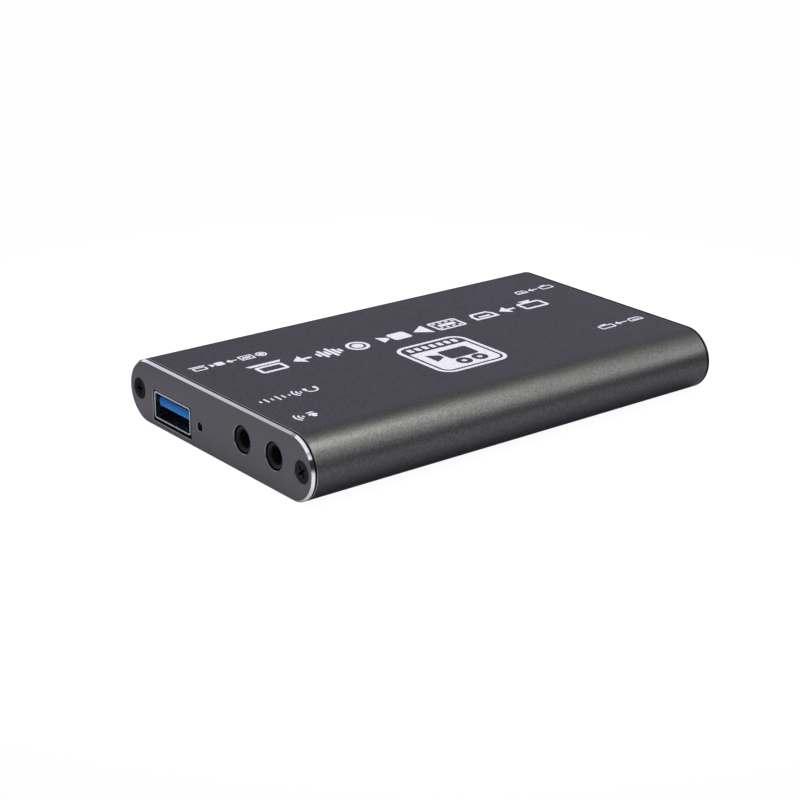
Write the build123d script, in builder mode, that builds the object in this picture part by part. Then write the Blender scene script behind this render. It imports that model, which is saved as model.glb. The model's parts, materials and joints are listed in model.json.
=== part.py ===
from build123d import *
from math import sqrt
import os

# A pocket-sized video capture box: a flat aluminium sleeve with round sides, an end plate
# screwed on at each end, and a board with its sockets inside.
# Millimetres. The origin is at the bottom centre, the length runs along Y with the data port
# and the sound jacks at -Y and the two video ports at +Y, and Z is up.

# Case
case_length = 104.4  # over both end plates
case_width = 63.0
case_height = 13.4  # the sides are half rounds of this height
case_wall = 1.3

# Joint between the sleeve and an end plate
end_skin = 0.6  # wall left outside the rebate
rebate_depth = 0.65
sleeve_bevel = 0.25
plate_lip = 0.65
plate_bevel_front = 0.4  # of the plate's bright edge, seen on its face
plate_bevel_side = 0.52  # and seen on its rim
shadow_gap = 0.25
plate_fit = 0.08
opening_bevel = 0.1  # round the openings of the end plates

# Screws and the ports that they cut their thread in
screw_inset = 3.62  # from the side of the case to the screw's axis
screw_head_radius = 2.18
screw_shank_radius = 1.2
screw_length = 6.0
screw_head_recess = 0.15
screw_seat_gap = 0.02
screw_hole_gap = 0.2
thread_gap = 0.05
cross_span = 2.3
cross_bar = 0.46
cross_depth = 0.75
cross_core_side = 0.78
cross_core_depth = 1.0
cross_core_turn = 45  # degrees, so that its corners fall on the arms of the cross
cross_turns = {-1: (5, 39), 1: (62, 21)}  # degrees, for the left and right screw of each end
port_wall = 0.75
port_slot = 1.0
port_web = 1.8

# Board and the ledges that carry it
board_thickness = 1.6
board_corner = 0.8
guide_gap = 0.15
board_side_gap = 0.3
board_end_gap = 0.2
ledge_thickness = 0.85
ledge_reach = 2.2

# Sockets, common
port_setback = 0.12  # the shells end this far behind the face of the end plate
insulator_gap = 0.05
contact_gap = 0.03
leg_gap = 0.25
leg_overhang = 0.4

# Data port, sunk into a notch of the board
data_port_share = -0.501
data_port_width = 13.1
data_port_height = 5.72
data_port_length = 14.0
data_port_sheet = 0.3
data_port_corner = 0.65
data_port_sink = 2.46
data_port_cut_side_gap = 0.41
data_port_cut_top_gap = 0.15
data_port_cut_bottom_gap = 0.7
data_port_cut_corner = 0.35
data_notch_gap = 0.3
data_tongue_width = 11.3
data_tongue_thickness = 1.84
data_tongue_drop = 0.72
data_tongue_setback = 0.6
data_tongue_corner = 0.85
data_block_length = 4.4
data_wing_reach = 1.6
data_wing_length = 2.2
data_wing_shares = (0.32, 0.76)
data_finger_width = 1.7
data_finger_slit = 0.4
data_finger_length = 4.6
data_finger_share = 0.27
data_finger_side_share = 0.25
data_contact_thickness = 0.2
data_spring_width = 0.9
data_spring_shares = (-0.315, -0.09, 0.09, 0.315)
data_spring_dip = 0.65
data_spring_free_share = 0.38
data_spring_low_share = 0.52
data_spring_root_share = 0.8
data_pad_width = 0.6
data_pad_shares = (-0.36, -0.18, 0.0, 0.18, 0.36)
data_pad_start_share = 0.07
data_pad_end_share = 0.24
data_pad_rise = 0.7
data_foot_step = 0.7
data_foot_length = 0.9

# Video ports, two alike
video_port_share = 0.46
video_mouth_width = 14.0
video_mouth_height = 4.55
video_mouth_foot = 10.4  # width of the mouth's lower edge
video_mouth_side = 2.7  # height of the mouth's upright sides
video_mouth_corner = 0.35
video_port_sheet = 0.35
video_port_length = 11.2
video_plate_gap = 0.25
video_block_length = 4.0
video_tongue_width = 11.0
video_tongue_thickness = 1.65
video_tongue_drop = 1.15
video_tongue_setback = 0.9
video_leg_length = 1.4
video_leg_shares = (0.3, 0.8)
video_finger_width = 2.0
video_finger_slit = 0.45
video_finger_length = 4.2
video_finger_share = 0.25
video_finger_side_share = 0.25
video_contact_thickness = 0.14
video_contact_width = 0.4
video_contact_pitch = 1.0
video_upper_contacts = 10
video_lower_contacts = 9
video_contact_proud = 0.04
video_contact_start_share = 0.1
video_foot_step = 0.5
video_foot_length = 0.9

# Sound jacks, two alike
earphone_share = 0.283
microphone_share = 0.611
jack_axis_rise = 2.5  # above the board
jack_body_width = 6.0
jack_body_height = 5.0
jack_wall = 0.7
jack_depth = 14.2  # from the nozzle's front, for a plug of 14 mm
jack_nozzle_radius = 2.5
jack_nozzle_setback = 0.4
jack_hole_gap = 0.3
jack_bore_radius = 1.8
jack_bore_length = 3.7  # behind the bevel of its mouth
jack_mouth_bevel = 0.3
jack_chamber_radius = 2.05
jack_window_gap = 0.2
jack_contact_width = 1.3
jack_contact_thickness = 0.25
jack_contact_bite = 0.25
jack_contact_stand = 0.1
jack_contact_foot = 0.9
jack_contact_shares = (0.36, 0.58, 0.84)  # sleeve, ring and tip
jack_contact_sides = (-1, 1, -1)

# Status light
led_share = -0.1826
led_hole_radius = 0.9
led_width = 2.4
led_height = 1.1
led_base_depth = 0.6
led_lens_width = 1.7
led_lens_depth = 0.4
led_lens_margin = 0.12
led_edge_gap = 0.15

# Chips and other parts on the board. Places are shares of half its width and half its length.
capture_chip_side = 12.0
capture_chip_height = 1.0
capture_chip_place_shares = (-0.12, -0.12)
thermal_tape_thickness = 0.2
heat_sink_side = 16.0
heat_sink_base = 1.2
heat_sink_height = 5.0
heat_sink_fin = 0.8
heat_sink_fins = 7
splitter_chip_side = 9.0
splitter_chip_height = 0.9
splitter_chip_place_shares = (0.0, 0.42)
codec_chip_side = 6.0
codec_chip_height = 0.85
codec_chip_place_shares = (0.42, -0.46)
memory_chip_width = 8.0
memory_chip_length = 12.0
memory_chip_height = 1.0
memory_chip_place_shares = (0.56, -0.1)
chip_bevel = 0.12
chip_corner = 0.6  # cut off beside the first contact
flash_chip_width = 5.2
flash_chip_length = 5.2
flash_chip_height = 1.8
flash_chip_place_shares = (-0.72, -0.2)
flash_chip_stand = 0.1
flash_lead_pitch = 1.27
flash_leads = 4
flash_lead_width = 0.42
flash_lead_thickness = 0.2
flash_lead_reach = 1.3
lead_root_share = 0.25
regulator_width = 1.6
regulator_length = 2.9
regulator_height = 1.1
regulator_stand = 0.05
regulator_place_shares = ((-0.44, 0.15), (-0.44, 0.33))
regulator_lead_pitch = 0.95
regulator_leads = 3
regulator_lead_width = 0.4
regulator_lead_thickness = 0.16
regulator_lead_reach = 0.65
crystal_width = 2.5
crystal_length = 3.2
crystal_base = 0.35
crystal_height = 0.8
crystal_lid_margin = 0.15
crystal_place_shares = ((-0.5, -0.44), (0.46, 0.4))
inductor_side = 4.4
inductor_height = 2.2
inductor_corner = 0.8
inductor_foot = 0.2
inductor_foot_inset = 0.4
inductor_place_shares = ((-0.72, 0.14), (-0.72, 0.32))
can_radius = 2.5
can_height = 5.4
can_base_side = 5.3
can_base_height = 0.9
can_bevel = 0.2
can_place_shares = ((0.76, 0.16), (0.76, 0.34))
capacitor_length = 1.6
capacitor_width = 0.8
capacitor_height = 0.8
capacitor_pitch = 2.2
capacitor_count = 5
capacitor_row_shares = ((-0.12, -0.36), (0.05, 0.18), (0.55, 0.08))

# One length that every cut may run past its solid
cut_overrun = 1.0

# Places that follow from the sizes
middle_height = case_height / 2
plate_neck = rebate_depth + shadow_gap
plate_thickness = plate_lip + plate_neck
plate_seat = case_length / 2 - plate_thickness
sleeve_end = plate_seat + rebate_depth
neck_inset = end_skin + plate_fit
screw_x = case_width / 2 - screw_inset
screw_head_height = screw_head_radius - screw_shank_radius
countersink_radius = screw_head_radius + screw_head_recess + screw_seat_gap
screw_hole_radius = screw_shank_radius + screw_hole_gap
port_bore_radius = screw_shank_radius + thread_gap
port_radius = port_bore_radius + port_wall
countersink_angle = 90

board_top = middle_height - port_radius - guide_gap
board_bottom = board_top - board_thickness
inner_radius = middle_height - case_wall
side_centre = case_width / 2 - middle_height
wall_at_board = side_centre + sqrt(inner_radius**2 - (middle_height - board_bottom) ** 2)
board_half_width = wall_at_board - board_side_gap
board_half_length = plate_seat - board_end_gap
ledge_edge = board_half_width - ledge_reach

data_port_x = data_port_share * case_width / 2
data_port_low = board_top - data_port_sink
data_port_axis = data_port_low + data_port_height / 2
data_port_mouth = port_setback - case_length / 2
data_port_rear = data_port_mouth + data_port_length
data_inner_width = data_port_width - 2 * data_port_sheet
data_inner_height = data_port_height - 2 * data_port_sheet
data_inner_corner = data_port_corner - data_port_sheet
data_block_front = data_port_rear - data_block_length
data_tongue_tip = data_port_mouth + data_tongue_setback
data_tongue_length = data_block_front - data_tongue_tip
data_tongue_top = data_port_axis + data_inner_height / 2 - data_tongue_drop
data_tongue_bottom = data_tongue_top - data_tongue_thickness
data_wing_edge = data_port_width / 2 + data_wing_reach

video_port_x = video_port_share * case_width / 2
video_mouth_low = board_top + video_port_sheet
video_mouth_top = video_mouth_low + video_mouth_height
video_port_mouth = case_length / 2 - port_setback
video_port_rear = video_port_mouth - video_port_length
video_block_front = video_port_rear + video_block_length
video_tongue_tip = video_port_mouth - video_tongue_setback
video_tongue_length = video_tongue_tip - video_block_front
video_tongue_top = video_mouth_top - video_tongue_drop
video_tongue_bottom = video_tongue_top - video_tongue_thickness
video_leg_top = video_mouth_top - video_mouth_side

jack_axis = board_top + jack_axis_rise
jack_nozzle_front = jack_nozzle_setback - case_length / 2
jack_body_front = board_end_gap - plate_seat
jack_chamber_rear = jack_nozzle_front + jack_depth
jack_body_rear = jack_chamber_rear + jack_wall
jack_body_length = jack_body_rear - jack_body_front
jack_chamber_front = jack_nozzle_front + jack_mouth_bevel + jack_bore_length
jack_places = {
    "earphone": earphone_share * case_width / 2,
    "microphone": microphone_share * case_width / 2,
}

led_x = led_share * case_width / 2
led_axis = board_top + led_height / 2
led_lens_front = led_edge_gap - board_half_length
led_base_front = led_lens_front + led_lens_depth

os.makedirs("parts", exist_ok=True)


def cross_plane(y):
    # An upright plane across the case; its own x and y are the case's width and height
    return Plane.XZ.offset(-y)


def board_place(shares):
    return (shares[0] * board_half_width, shares[1] * board_half_length)


def screw_planes(end, depth):
    # The two screw axes of an end plate, a little below its face and facing outwards
    y = end * (case_length / 2 - depth)
    centres = [(side * screw_x, y, middle_height) for side in (-1, 1)]
    return [Plane(centre, x_dir=(1, 0, 0), z_dir=(0, end, 0)) for centre in centres]


def add_slot_outline(inset):
    # The outline of the case, drawn in by an even distance
    with Locations((0, middle_height)):
        SlotOverall(case_width - 2 * inset, case_height - 2 * inset)


def add_strip(points, plane, thickness, width, mode=Mode.ADD):
    # A bent strip of sheet metal that follows points in a plane and is as wide as it stands out of it
    with BuildSketch(plane) as strip_profile:
        with BuildLine():
            Polyline(*points)
        trace(line_width=thickness)
    extrude(strip_profile.sketch, amount=width / 2, both=True, mode=mode)


# Sleeve: an extrusion with a screw port at each side and a ledge under each edge of the board
with BuildPart() as case_sleeve:
    with BuildSketch(cross_plane(sleeve_end)):
        add_slot_outline(0)
    extrude(amount=2 * sleeve_end)
    chamfer(case_sleeve.faces().filter_by(Axis.Y).edges(), sleeve_bevel)
    with BuildSketch(cross_plane(sleeve_end + cut_overrun)):
        add_slot_outline(case_wall)
        for side in (-1, 1):
            with Locations((side * screw_x, middle_height)):
                Circle(port_radius, mode=Mode.SUBTRACT)
            with Locations((side * (screw_x + case_width / 2) / 2, middle_height)):
                Rectangle(case_width / 2 - screw_x, port_web, mode=Mode.SUBTRACT)
            with Locations((side * (ledge_edge + case_width / 2) / 2, board_bottom - ledge_thickness / 2)):
                Rectangle(case_width / 2 - ledge_edge, ledge_thickness, mode=Mode.SUBTRACT)
            with Locations((side * screw_x, middle_height)):
                Circle(port_bore_radius)
            with Locations((side * (screw_x - port_radius / 2), middle_height)):
                Rectangle(port_radius, port_slot)
    extrude(amount=2 * (sleeve_end + cut_overrun), mode=Mode.SUBTRACT)
    for end in (-1, 1):
        with BuildSketch(cross_plane(end * (sleeve_end + cut_overrun))):
            add_slot_outline(end_skin)
        extrude(amount=end * (rebate_depth + cut_overrun), mode=Mode.SUBTRACT)
case_sleeve.part.label = "case_sleeve"
export_step(case_sleeve.part, "parts/case_sleeve.step")


def outer_face(end):
    return faces().sort_by(Axis((0, 0, 0), (0, end, 0)))[-1]


def add_end_blank(end):
    # The blank of an end plate: a bevelled lip of the full outline and a neck for the rebate
    with BuildSketch(cross_plane(end * case_length / 2)) as lip_outline:
        add_slot_outline(0)
    extrude(lip_outline.sketch, amount=end * plate_lip)
    face = outer_face(end)
    chamfer(face.edges(), plate_bevel_front, plate_bevel_side, reference=face)
    with BuildSketch(cross_plane(end * (case_length / 2 - plate_lip))) as neck_outline:
        add_slot_outline(neck_inset)
    extrude(neck_outline.sketch, amount=end * plate_neck)


def finish_end_plate(end):
    # Bevels the openings of an end plate, and adds its two countersunk holes
    rims = outer_face(end).inner_wires()
    chamfer([edge for rim in rims for edge in rim.edges()], opening_bevel)
    with Locations(*screw_planes(end, 0)):
        CounterSinkHole(screw_hole_radius, countersink_radius, counter_sink_angle=countersink_angle)


def video_outline(port_x, y, grow):
    # The mouth of a video port, wide at the top with slanted lower corners, grown evenly
    upper, lower = video_mouth_width / 2, video_mouth_foot / 2
    corners = [
        (port_x - upper, video_mouth_top),
        (port_x + upper, video_mouth_top),
        (port_x + upper, video_leg_top),
        (port_x + lower, video_mouth_low),
        (port_x - lower, video_mouth_low),
        (port_x - upper, video_leg_top),
    ]
    with BuildSketch(cross_plane(y)) as outline:
        with BuildLine():
            Polyline(*corners, close=True)
        make_face()
        fillet(outline.vertices(), video_mouth_corner)
        if grow:
            offset(amount=grow)
    return outline.sketch


# Front plate, with the openings of the data port, the status light and the sound jacks
with BuildPart() as front_plate:
    add_end_blank(-1)
    with BuildSketch(cross_plane(cut_overrun - plate_seat)):
        cut_low = data_port_low - data_port_cut_bottom_gap
        cut_top = data_port_low + data_port_height + data_port_cut_top_gap
        with Locations((data_port_x, (cut_low + cut_top) / 2)):
            cut_width = data_port_width + 2 * data_port_cut_side_gap
            RectangleRounded(cut_width, cut_top - cut_low, data_port_cut_corner)
        with Locations(*[(x, jack_axis) for x in jack_places.values()]):
            Circle(jack_nozzle_radius + jack_hole_gap)
        with Locations((led_x, led_axis)):
            Circle(led_hole_radius)
    extrude(amount=plate_thickness + 2 * cut_overrun, mode=Mode.SUBTRACT)
    finish_end_plate(-1)
front_plate.part.label = "front_plate"
export_step(front_plate.part, "parts/front_plate.step")

# Rear plate, with the openings of the two video ports
with BuildPart() as rear_plate:
    add_end_blank(1)
    for port_x in (-video_port_x, video_port_x):
        opening = video_outline(port_x, case_length / 2 + cut_overrun, video_port_sheet + video_plate_gap)
        extrude(opening, amount=plate_thickness + 2 * cut_overrun, mode=Mode.SUBTRACT)
    finish_end_plate(1)
rear_plate.part.label = "rear_plate"
export_step(rear_plate.part, "parts/rear_plate.step")


def add_screws(end):
    # Two countersunk screws with a cross recess
    low_side = (Align.CENTER, Align.CENTER, Align.MAX)
    for plane, turn in zip(screw_planes(end, screw_head_recess), cross_turns[end]):
        with Locations(plane):
            Cone(screw_shank_radius, screw_head_radius, screw_head_height, align=low_side)
            with Locations((0, 0, -screw_head_height)):
                Cylinder(screw_shank_radius, screw_length - screw_head_height, align=low_side)
            cuts = [
                (cross_span, cross_bar, cross_depth, turn),
                (cross_bar, cross_span, cross_depth, turn),
                (cross_core_side, cross_core_side, cross_core_depth, turn + cross_core_turn),
            ]
            for length, width, depth, angle in cuts:
                Box(length, width, depth, (0, 0, angle), align=low_side, mode=Mode.SUBTRACT)


with BuildPart() as front_screws:
    add_screws(-1)
front_screws.part.label = "front_screws"
export_step(front_screws.part, "parts/front_screws.step")

with BuildPart() as rear_screws:
    add_screws(1)
rear_screws.part.label = "rear_screws"
export_step(rear_screws.part, "parts/rear_screws.step")

# Main board, notched for the sunk data port, with holes for the sockets' legs
data_wing_places = [data_port_mouth + share * data_port_length for share in data_wing_shares]
video_leg_places = [video_port_mouth - share * video_port_length for share in video_leg_shares]
with BuildPart() as main_board:
    with BuildSketch(Plane.XY.offset(board_bottom)) as board_outline:
        Rectangle(2 * board_half_width, 2 * board_half_length)
        chamfer(board_outline.vertices(), board_corner)
        notch_rear = data_port_rear + data_notch_gap
        with Locations((data_port_x, notch_rear)):
            notch_width = data_port_width + 2 * data_notch_gap
            notch_length = notch_rear + board_half_length + cut_overrun
            Rectangle(notch_width, notch_length, align=(Align.CENTER, Align.MAX), mode=Mode.SUBTRACT)
        for side in (-1, 1):
            leg_x = data_port_x + side * (data_wing_edge - data_port_sheet / 2)
            with Locations(*[(leg_x, y) for y in data_wing_places]):
                slot_width = data_port_sheet + 2 * leg_gap
                Rectangle(slot_width, data_wing_length + 2 * leg_gap, mode=Mode.SUBTRACT)
            for port_x in (-video_port_x, video_port_x):
                leg_x = port_x + side * (video_mouth_width + video_port_sheet) / 2
                with Locations(*[(leg_x, y) for y in video_leg_places]):
                    slot_width = video_port_sheet + 2 * leg_gap
                    Rectangle(slot_width, video_leg_length + 2 * leg_gap, mode=Mode.SUBTRACT)
    extrude(amount=board_thickness)
main_board.part.label = "main_board"
export_step(main_board.part, "parts/main_board.step")

# Data port shell: a drawn tube with spring fingers above and below, wings on the board and legs
with BuildPart() as data_port_shell:
    with BuildSketch(cross_plane(data_port_rear)):
        with Locations((data_port_x, data_port_axis)):
            RectangleRounded(data_port_width, data_port_height, data_port_corner)
            RectangleRounded(data_inner_width, data_inner_height, data_inner_corner, mode=Mode.SUBTRACT)
    extrude(amount=data_port_length)
    for y in data_wing_places:
        with BuildSketch(cross_plane(y + data_wing_length / 2)):
            for side in (-1, 1):
                wing_middle = data_wing_edge - (data_wing_reach + data_port_sheet) / 2
                with Locations((data_port_x + side * wing_middle, board_top + data_port_sheet / 2)):
                    Rectangle(data_wing_reach + data_port_sheet, data_port_sheet)
                leg_height = data_port_sheet + board_thickness + leg_overhang
                leg_middle = board_top + data_port_sheet - leg_height / 2
                with Locations((data_port_x + side * (data_wing_edge - data_port_sheet / 2), leg_middle)):
                    Rectangle(data_port_sheet, leg_height)
        extrude(amount=data_wing_length)
    finger_front = data_port_mouth + data_finger_share * data_port_length
    with BuildSketch(Plane.XY.offset(data_port_axis)):
        for side in (-1, 1):
            finger_x = data_port_x + side * data_finger_side_share * data_port_width
            with Locations((finger_x, finger_front)):
                slot_width = data_finger_width + 2 * data_finger_slit
                Rectangle(slot_width, data_finger_length + data_finger_slit, align=(Align.CENTER, Align.MIN))
                Rectangle(
                    data_finger_width, data_finger_length, align=(Align.CENTER, Align.MIN), mode=Mode.SUBTRACT
                )
    extrude(amount=data_port_height, both=True, mode=Mode.SUBTRACT)
data_port_shell.part.label = "data_port_shell"
export_step(data_port_shell.part, "parts/data_port_shell.step")


def add_data_contacts(extra, mode=Mode.ADD):
    # Four spring contacts behind five flat pads, all along the underside of the tongue. The same
    # strips, made a little larger, are the channels that they lie in.
    half = data_contact_thickness / 2
    level = data_tongue_bottom + half
    foot = board_top + half
    free_end = data_tongue_tip + data_spring_free_share * data_tongue_length
    low_point = data_tongue_tip + data_spring_low_share * data_tongue_length
    spring_path = [
        (free_end, data_tongue_bottom - data_spring_dip / 2),
        (low_point, data_tongue_bottom - data_spring_dip),
        (data_tongue_tip + data_spring_root_share * data_tongue_length, level),
        (data_port_rear + data_foot_step, level),
        (data_port_rear + data_foot_step, foot),
        (data_port_rear + data_foot_step + data_foot_length, foot),
    ]
    pad_level = level + data_pad_rise
    pad_end = data_tongue_tip + data_pad_end_share * data_tongue_length
    pad_turn = data_port_rear + 2 * data_foot_step + data_foot_length
    pad_path = [
        (data_tongue_tip + data_pad_start_share * data_tongue_length, level),
        (pad_end, level),
        (pad_end + data_pad_rise, pad_level),
        (pad_turn, pad_level),
        (pad_turn, foot),
        (pad_turn + data_foot_length, foot),
    ]
    strips = [(spring_path, share, data_spring_width) for share in data_spring_shares]
    strips += [(pad_path, share, data_pad_width) for share in data_pad_shares]
    for path, share, width in strips:
        plane = Plane.YZ.offset(data_port_x + share * data_tongue_width)
        add_strip(path, plane, data_contact_thickness + 2 * extra, width + 2 * extra, mode)


# Data port insulator: a block that closes the shell's rear, and the tongue that carries the contacts
with BuildPart() as data_port_insulator:
    with BuildSketch(cross_plane(data_port_rear)):
        with Locations((data_port_x, data_port_axis)):
            RectangleRounded(
                data_inner_width - 2 * insulator_gap,
                data_inner_height - 2 * insulator_gap,
                data_inner_corner,
            )
    extrude(amount=data_block_length)
    with BuildSketch(cross_plane(data_block_front)):
        with Locations((data_port_x, (data_tongue_top + data_tongue_bottom) / 2)):
            RectangleRounded(data_tongue_width, data_tongue_thickness, data_tongue_corner)
    extrude(amount=data_tongue_length)
    add_data_contacts(contact_gap, mode=Mode.SUBTRACT)
data_port_insulator.part.label = "data_port_insulator"
export_step(data_port_insulator.part, "parts/data_port_insulator.step")

with BuildPart() as data_port_contacts:
    add_data_contacts(0)
data_port_contacts.part.label = "data_port_contacts"
export_step(data_port_contacts.part, "parts/data_port_contacts.step")


def add_video_contacts(port_x, extra, mode=Mode.ADD):
    # Ten contacts on the tongue and nine under it, half a pitch apart, which step down behind
    half = video_contact_thickness / 2
    foot = board_top + half
    start = video_tongue_tip - video_contact_start_share * video_tongue_length
    upper_level = video_tongue_top + video_contact_proud - half
    lower_level = video_tongue_bottom - video_contact_proud + half
    upper_turn = video_port_rear - 2 * video_foot_step
    lower_turn = video_port_rear - video_foot_step
    rows = [
        (upper_level, upper_turn, video_upper_contacts),
        (lower_level, lower_turn, video_lower_contacts),
    ]
    for level, turn, count in rows:
        path = [(start, level), (turn, level), (turn, foot), (turn - video_foot_length, foot)]
        for number in range(count):
            x = port_x + (number - (count - 1) / 2) * video_contact_pitch
            thickness = video_contact_thickness + 2 * extra
            add_strip(path, Plane.YZ.offset(x), thickness, video_contact_width + 2 * extra, mode)


for port_name, port_x in (("video_in", -video_port_x), ("video_out", video_port_x)):
    # Video port shell: a folded tube that stands on the board, with two spring fingers and four legs
    with BuildPart() as video_shell:
        extrude(video_outline(port_x, video_port_mouth, video_port_sheet), amount=video_port_length)
        cavity = video_outline(port_x, video_port_mouth + cut_overrun, 0)
        extrude(cavity, amount=video_port_length + 2 * cut_overrun, mode=Mode.SUBTRACT)
        for y in video_leg_places:
            with BuildSketch(cross_plane(y + video_leg_length / 2)):
                leg_height = video_leg_top - board_bottom + leg_overhang
                for side in (-1, 1):
                    leg_x = port_x + side * (video_mouth_width + video_port_sheet) / 2
                    with Locations((leg_x, video_leg_top - leg_height / 2)):
                        Rectangle(video_port_sheet, leg_height)
            extrude(amount=video_leg_length)
        with BuildSketch(Plane.XY.offset(video_mouth_top - video_port_sheet)):
            for side in (-1, 1):
                finger_x = port_x + side * video_finger_side_share * video_mouth_width
                with Locations((finger_x, video_port_mouth - video_finger_share * video_port_length)):
                    slot_width = video_finger_width + 2 * video_finger_slit
                    slot_length = video_finger_length + video_finger_slit
                    Rectangle(slot_width, slot_length, align=(Align.CENTER, Align.MAX))
                    Rectangle(
                        video_finger_width,
                        video_finger_length,
                        align=(Align.CENTER, Align.MAX),
                        mode=Mode.SUBTRACT,
                    )
        extrude(amount=2 * video_port_sheet + cut_overrun, mode=Mode.SUBTRACT)
    video_shell.part.label = f"{port_name}_shell"
    export_step(video_shell.part, f"parts/{port_name}_shell.step")

    # Video port insulator: a block that closes the shell's rear, with the tongue
    with BuildPart() as video_insulator:
        extrude(video_outline(port_x, video_block_front, -insulator_gap), amount=video_block_length)
        with BuildSketch(cross_plane(video_tongue_tip)):
            with Locations((port_x, (video_tongue_top + video_tongue_bottom) / 2)):
                Rectangle(video_tongue_width, video_tongue_thickness)
        extrude(amount=video_tongue_length)
        chamfer(video_insulator.faces().sort_by(Axis.Y)[-1].edges(), video_contact_thickness)
        add_video_contacts(port_x, contact_gap, mode=Mode.SUBTRACT)
    video_insulator.part.label = f"{port_name}_insulator"
    export_step(video_insulator.part, f"parts/{port_name}_insulator.step")

    with BuildPart() as video_contacts:
        add_video_contacts(port_x, 0)
    video_contacts.part.label = f"{port_name}_contacts"
    export_step(video_contacts.part, f"parts/{port_name}_contacts.step")

for jack_name, jack_x in jack_places.items():
    # Jack body: a moulded block on the board, its nozzle in the plate's hole, with a window for
    # each contact
    jack_contacts = list(zip(jack_contact_shares, jack_contact_sides))
    with BuildPart() as jack_body:
        with BuildSketch(cross_plane(jack_body_rear)):
            with Locations((jack_x, board_top)):
                Rectangle(jack_body_width, jack_body_height, align=(Align.CENTER, Align.MIN))
        extrude(amount=jack_body_length)
        chamfer(jack_body.edges().filter_by(Axis.Y).group_by(Axis.Z)[-1], jack_wall)
        with BuildSketch(cross_plane(jack_body_front)):
            with Locations((jack_x, jack_axis)):
                Circle(jack_nozzle_radius)
        extrude(amount=jack_body_front - jack_nozzle_front)
        with BuildSketch(cross_plane(jack_chamber_rear)):
            with Locations((jack_x, jack_axis)):
                Circle(jack_chamber_radius)
        extrude(amount=jack_chamber_rear - jack_chamber_front, mode=Mode.SUBTRACT)
        with BuildSketch(cross_plane(jack_chamber_front)):
            with Locations((jack_x, jack_axis)):
                Circle(jack_bore_radius)
        extrude(amount=jack_chamber_front - jack_nozzle_front, mode=Mode.SUBTRACT)
        nozzle_face = jack_body.faces().sort_by(Axis.Y)[0]
        chamfer(nozzle_face.inner_wires()[0].edges(), jack_mouth_bevel)
        for share, side in jack_contacts:
            y = jack_nozzle_front + share * jack_depth
            with BuildSketch(Plane.XY.offset(jack_axis)):
                with Locations((jack_x + side * jack_body_width / 2, y)):
                    window_width = jack_contact_width + 2 * jack_window_gap
                    Rectangle(jack_body_width - jack_chamber_radius, window_width)
            window_height = jack_contact_thickness / 2 + jack_window_gap
            extrude(amount=window_height, both=True, mode=Mode.SUBTRACT)
    jack_body.part.label = f"{jack_name}_jack_body"
    export_step(jack_body.part, f"parts/{jack_name}_jack_body.step")

    # Jack contacts: a foot on the board, a riser beside the body and a blade through its window
    with BuildPart() as jack_springs:
        half = jack_contact_thickness / 2
        for share, side in jack_contacts:
            riser = jack_body_width / 2 + jack_contact_stand + half
            path = [
                (jack_x + side * (riser + jack_contact_foot), board_top + half),
                (jack_x + side * riser, board_top + half),
                (jack_x + side * riser, jack_axis),
                (jack_x + side * (jack_chamber_radius - jack_contact_bite), jack_axis),
            ]
            plane = cross_plane(jack_nozzle_front + share * jack_depth)
            add_strip(path, plane, jack_contact_thickness, jack_contact_width)
    jack_springs.part.label = f"{jack_name}_jack_contacts"
    export_step(jack_springs.part, f"parts/{jack_name}_jack_contacts.step")

# Status light: a side-facing package at the board's edge, behind its hole in the front plate
with BuildPart() as led_base:
    with BuildSketch(Plane.XY.offset(board_top)):
        with Locations((led_x, led_base_front)):
            Rectangle(led_width, led_base_depth, align=(Align.CENTER, Align.MIN))
    extrude(amount=led_height)
led_base.part.label = "led_base"
export_step(led_base.part, "parts/led_base.step")

with BuildPart() as led_lens:
    with BuildSketch(cross_plane(led_base_front)):
        with Locations((led_x, led_axis)):
            Rectangle(led_lens_width, led_height - 2 * led_lens_margin)
    extrude(amount=led_lens_depth)
    chamfer(led_lens.faces().sort_by(Axis.Y)[0].edges(), led_lens_margin)
led_lens.part.label = "led_lens"
export_step(led_lens.part, "parts/led_lens.step")


def add_flat_chip(place_shares, width, length, height):
    # A leadless chip with a bevelled top and one corner cut off beside its first contact
    with BuildSketch(Plane.XY.offset(board_top)) as chip_outline:
        with Locations(board_place(place_shares)):
            Rectangle(width, length)
        chamfer(chip_outline.vertices().sort_by(Axis((0, 0, 0), (1, 1, 0)))[0], chip_corner)
    extrude(chip_outline.sketch, amount=height)
    chamfer(faces().sort_by(Axis.Z)[-1].edges(), chip_bevel)


# Capture chip, with its heat sink stuck on
with BuildPart() as capture_chip:
    add_flat_chip(capture_chip_place_shares, capture_chip_side, capture_chip_side, capture_chip_height)
capture_chip.part.label = "capture_chip"
export_step(capture_chip.part, "parts/capture_chip.step")

capture_chip_top = board_top + capture_chip_height
heat_sink_x, heat_sink_y = board_place(capture_chip_place_shares)
with BuildPart() as thermal_tape:
    with BuildSketch(Plane.XY.offset(capture_chip_top)):
        with Locations((heat_sink_x, heat_sink_y)):
            Rectangle(capture_chip_side, capture_chip_side)
    extrude(amount=thermal_tape_thickness)
thermal_tape.part.label = "thermal_tape"
export_step(thermal_tape.part, "parts/thermal_tape.step")

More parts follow.
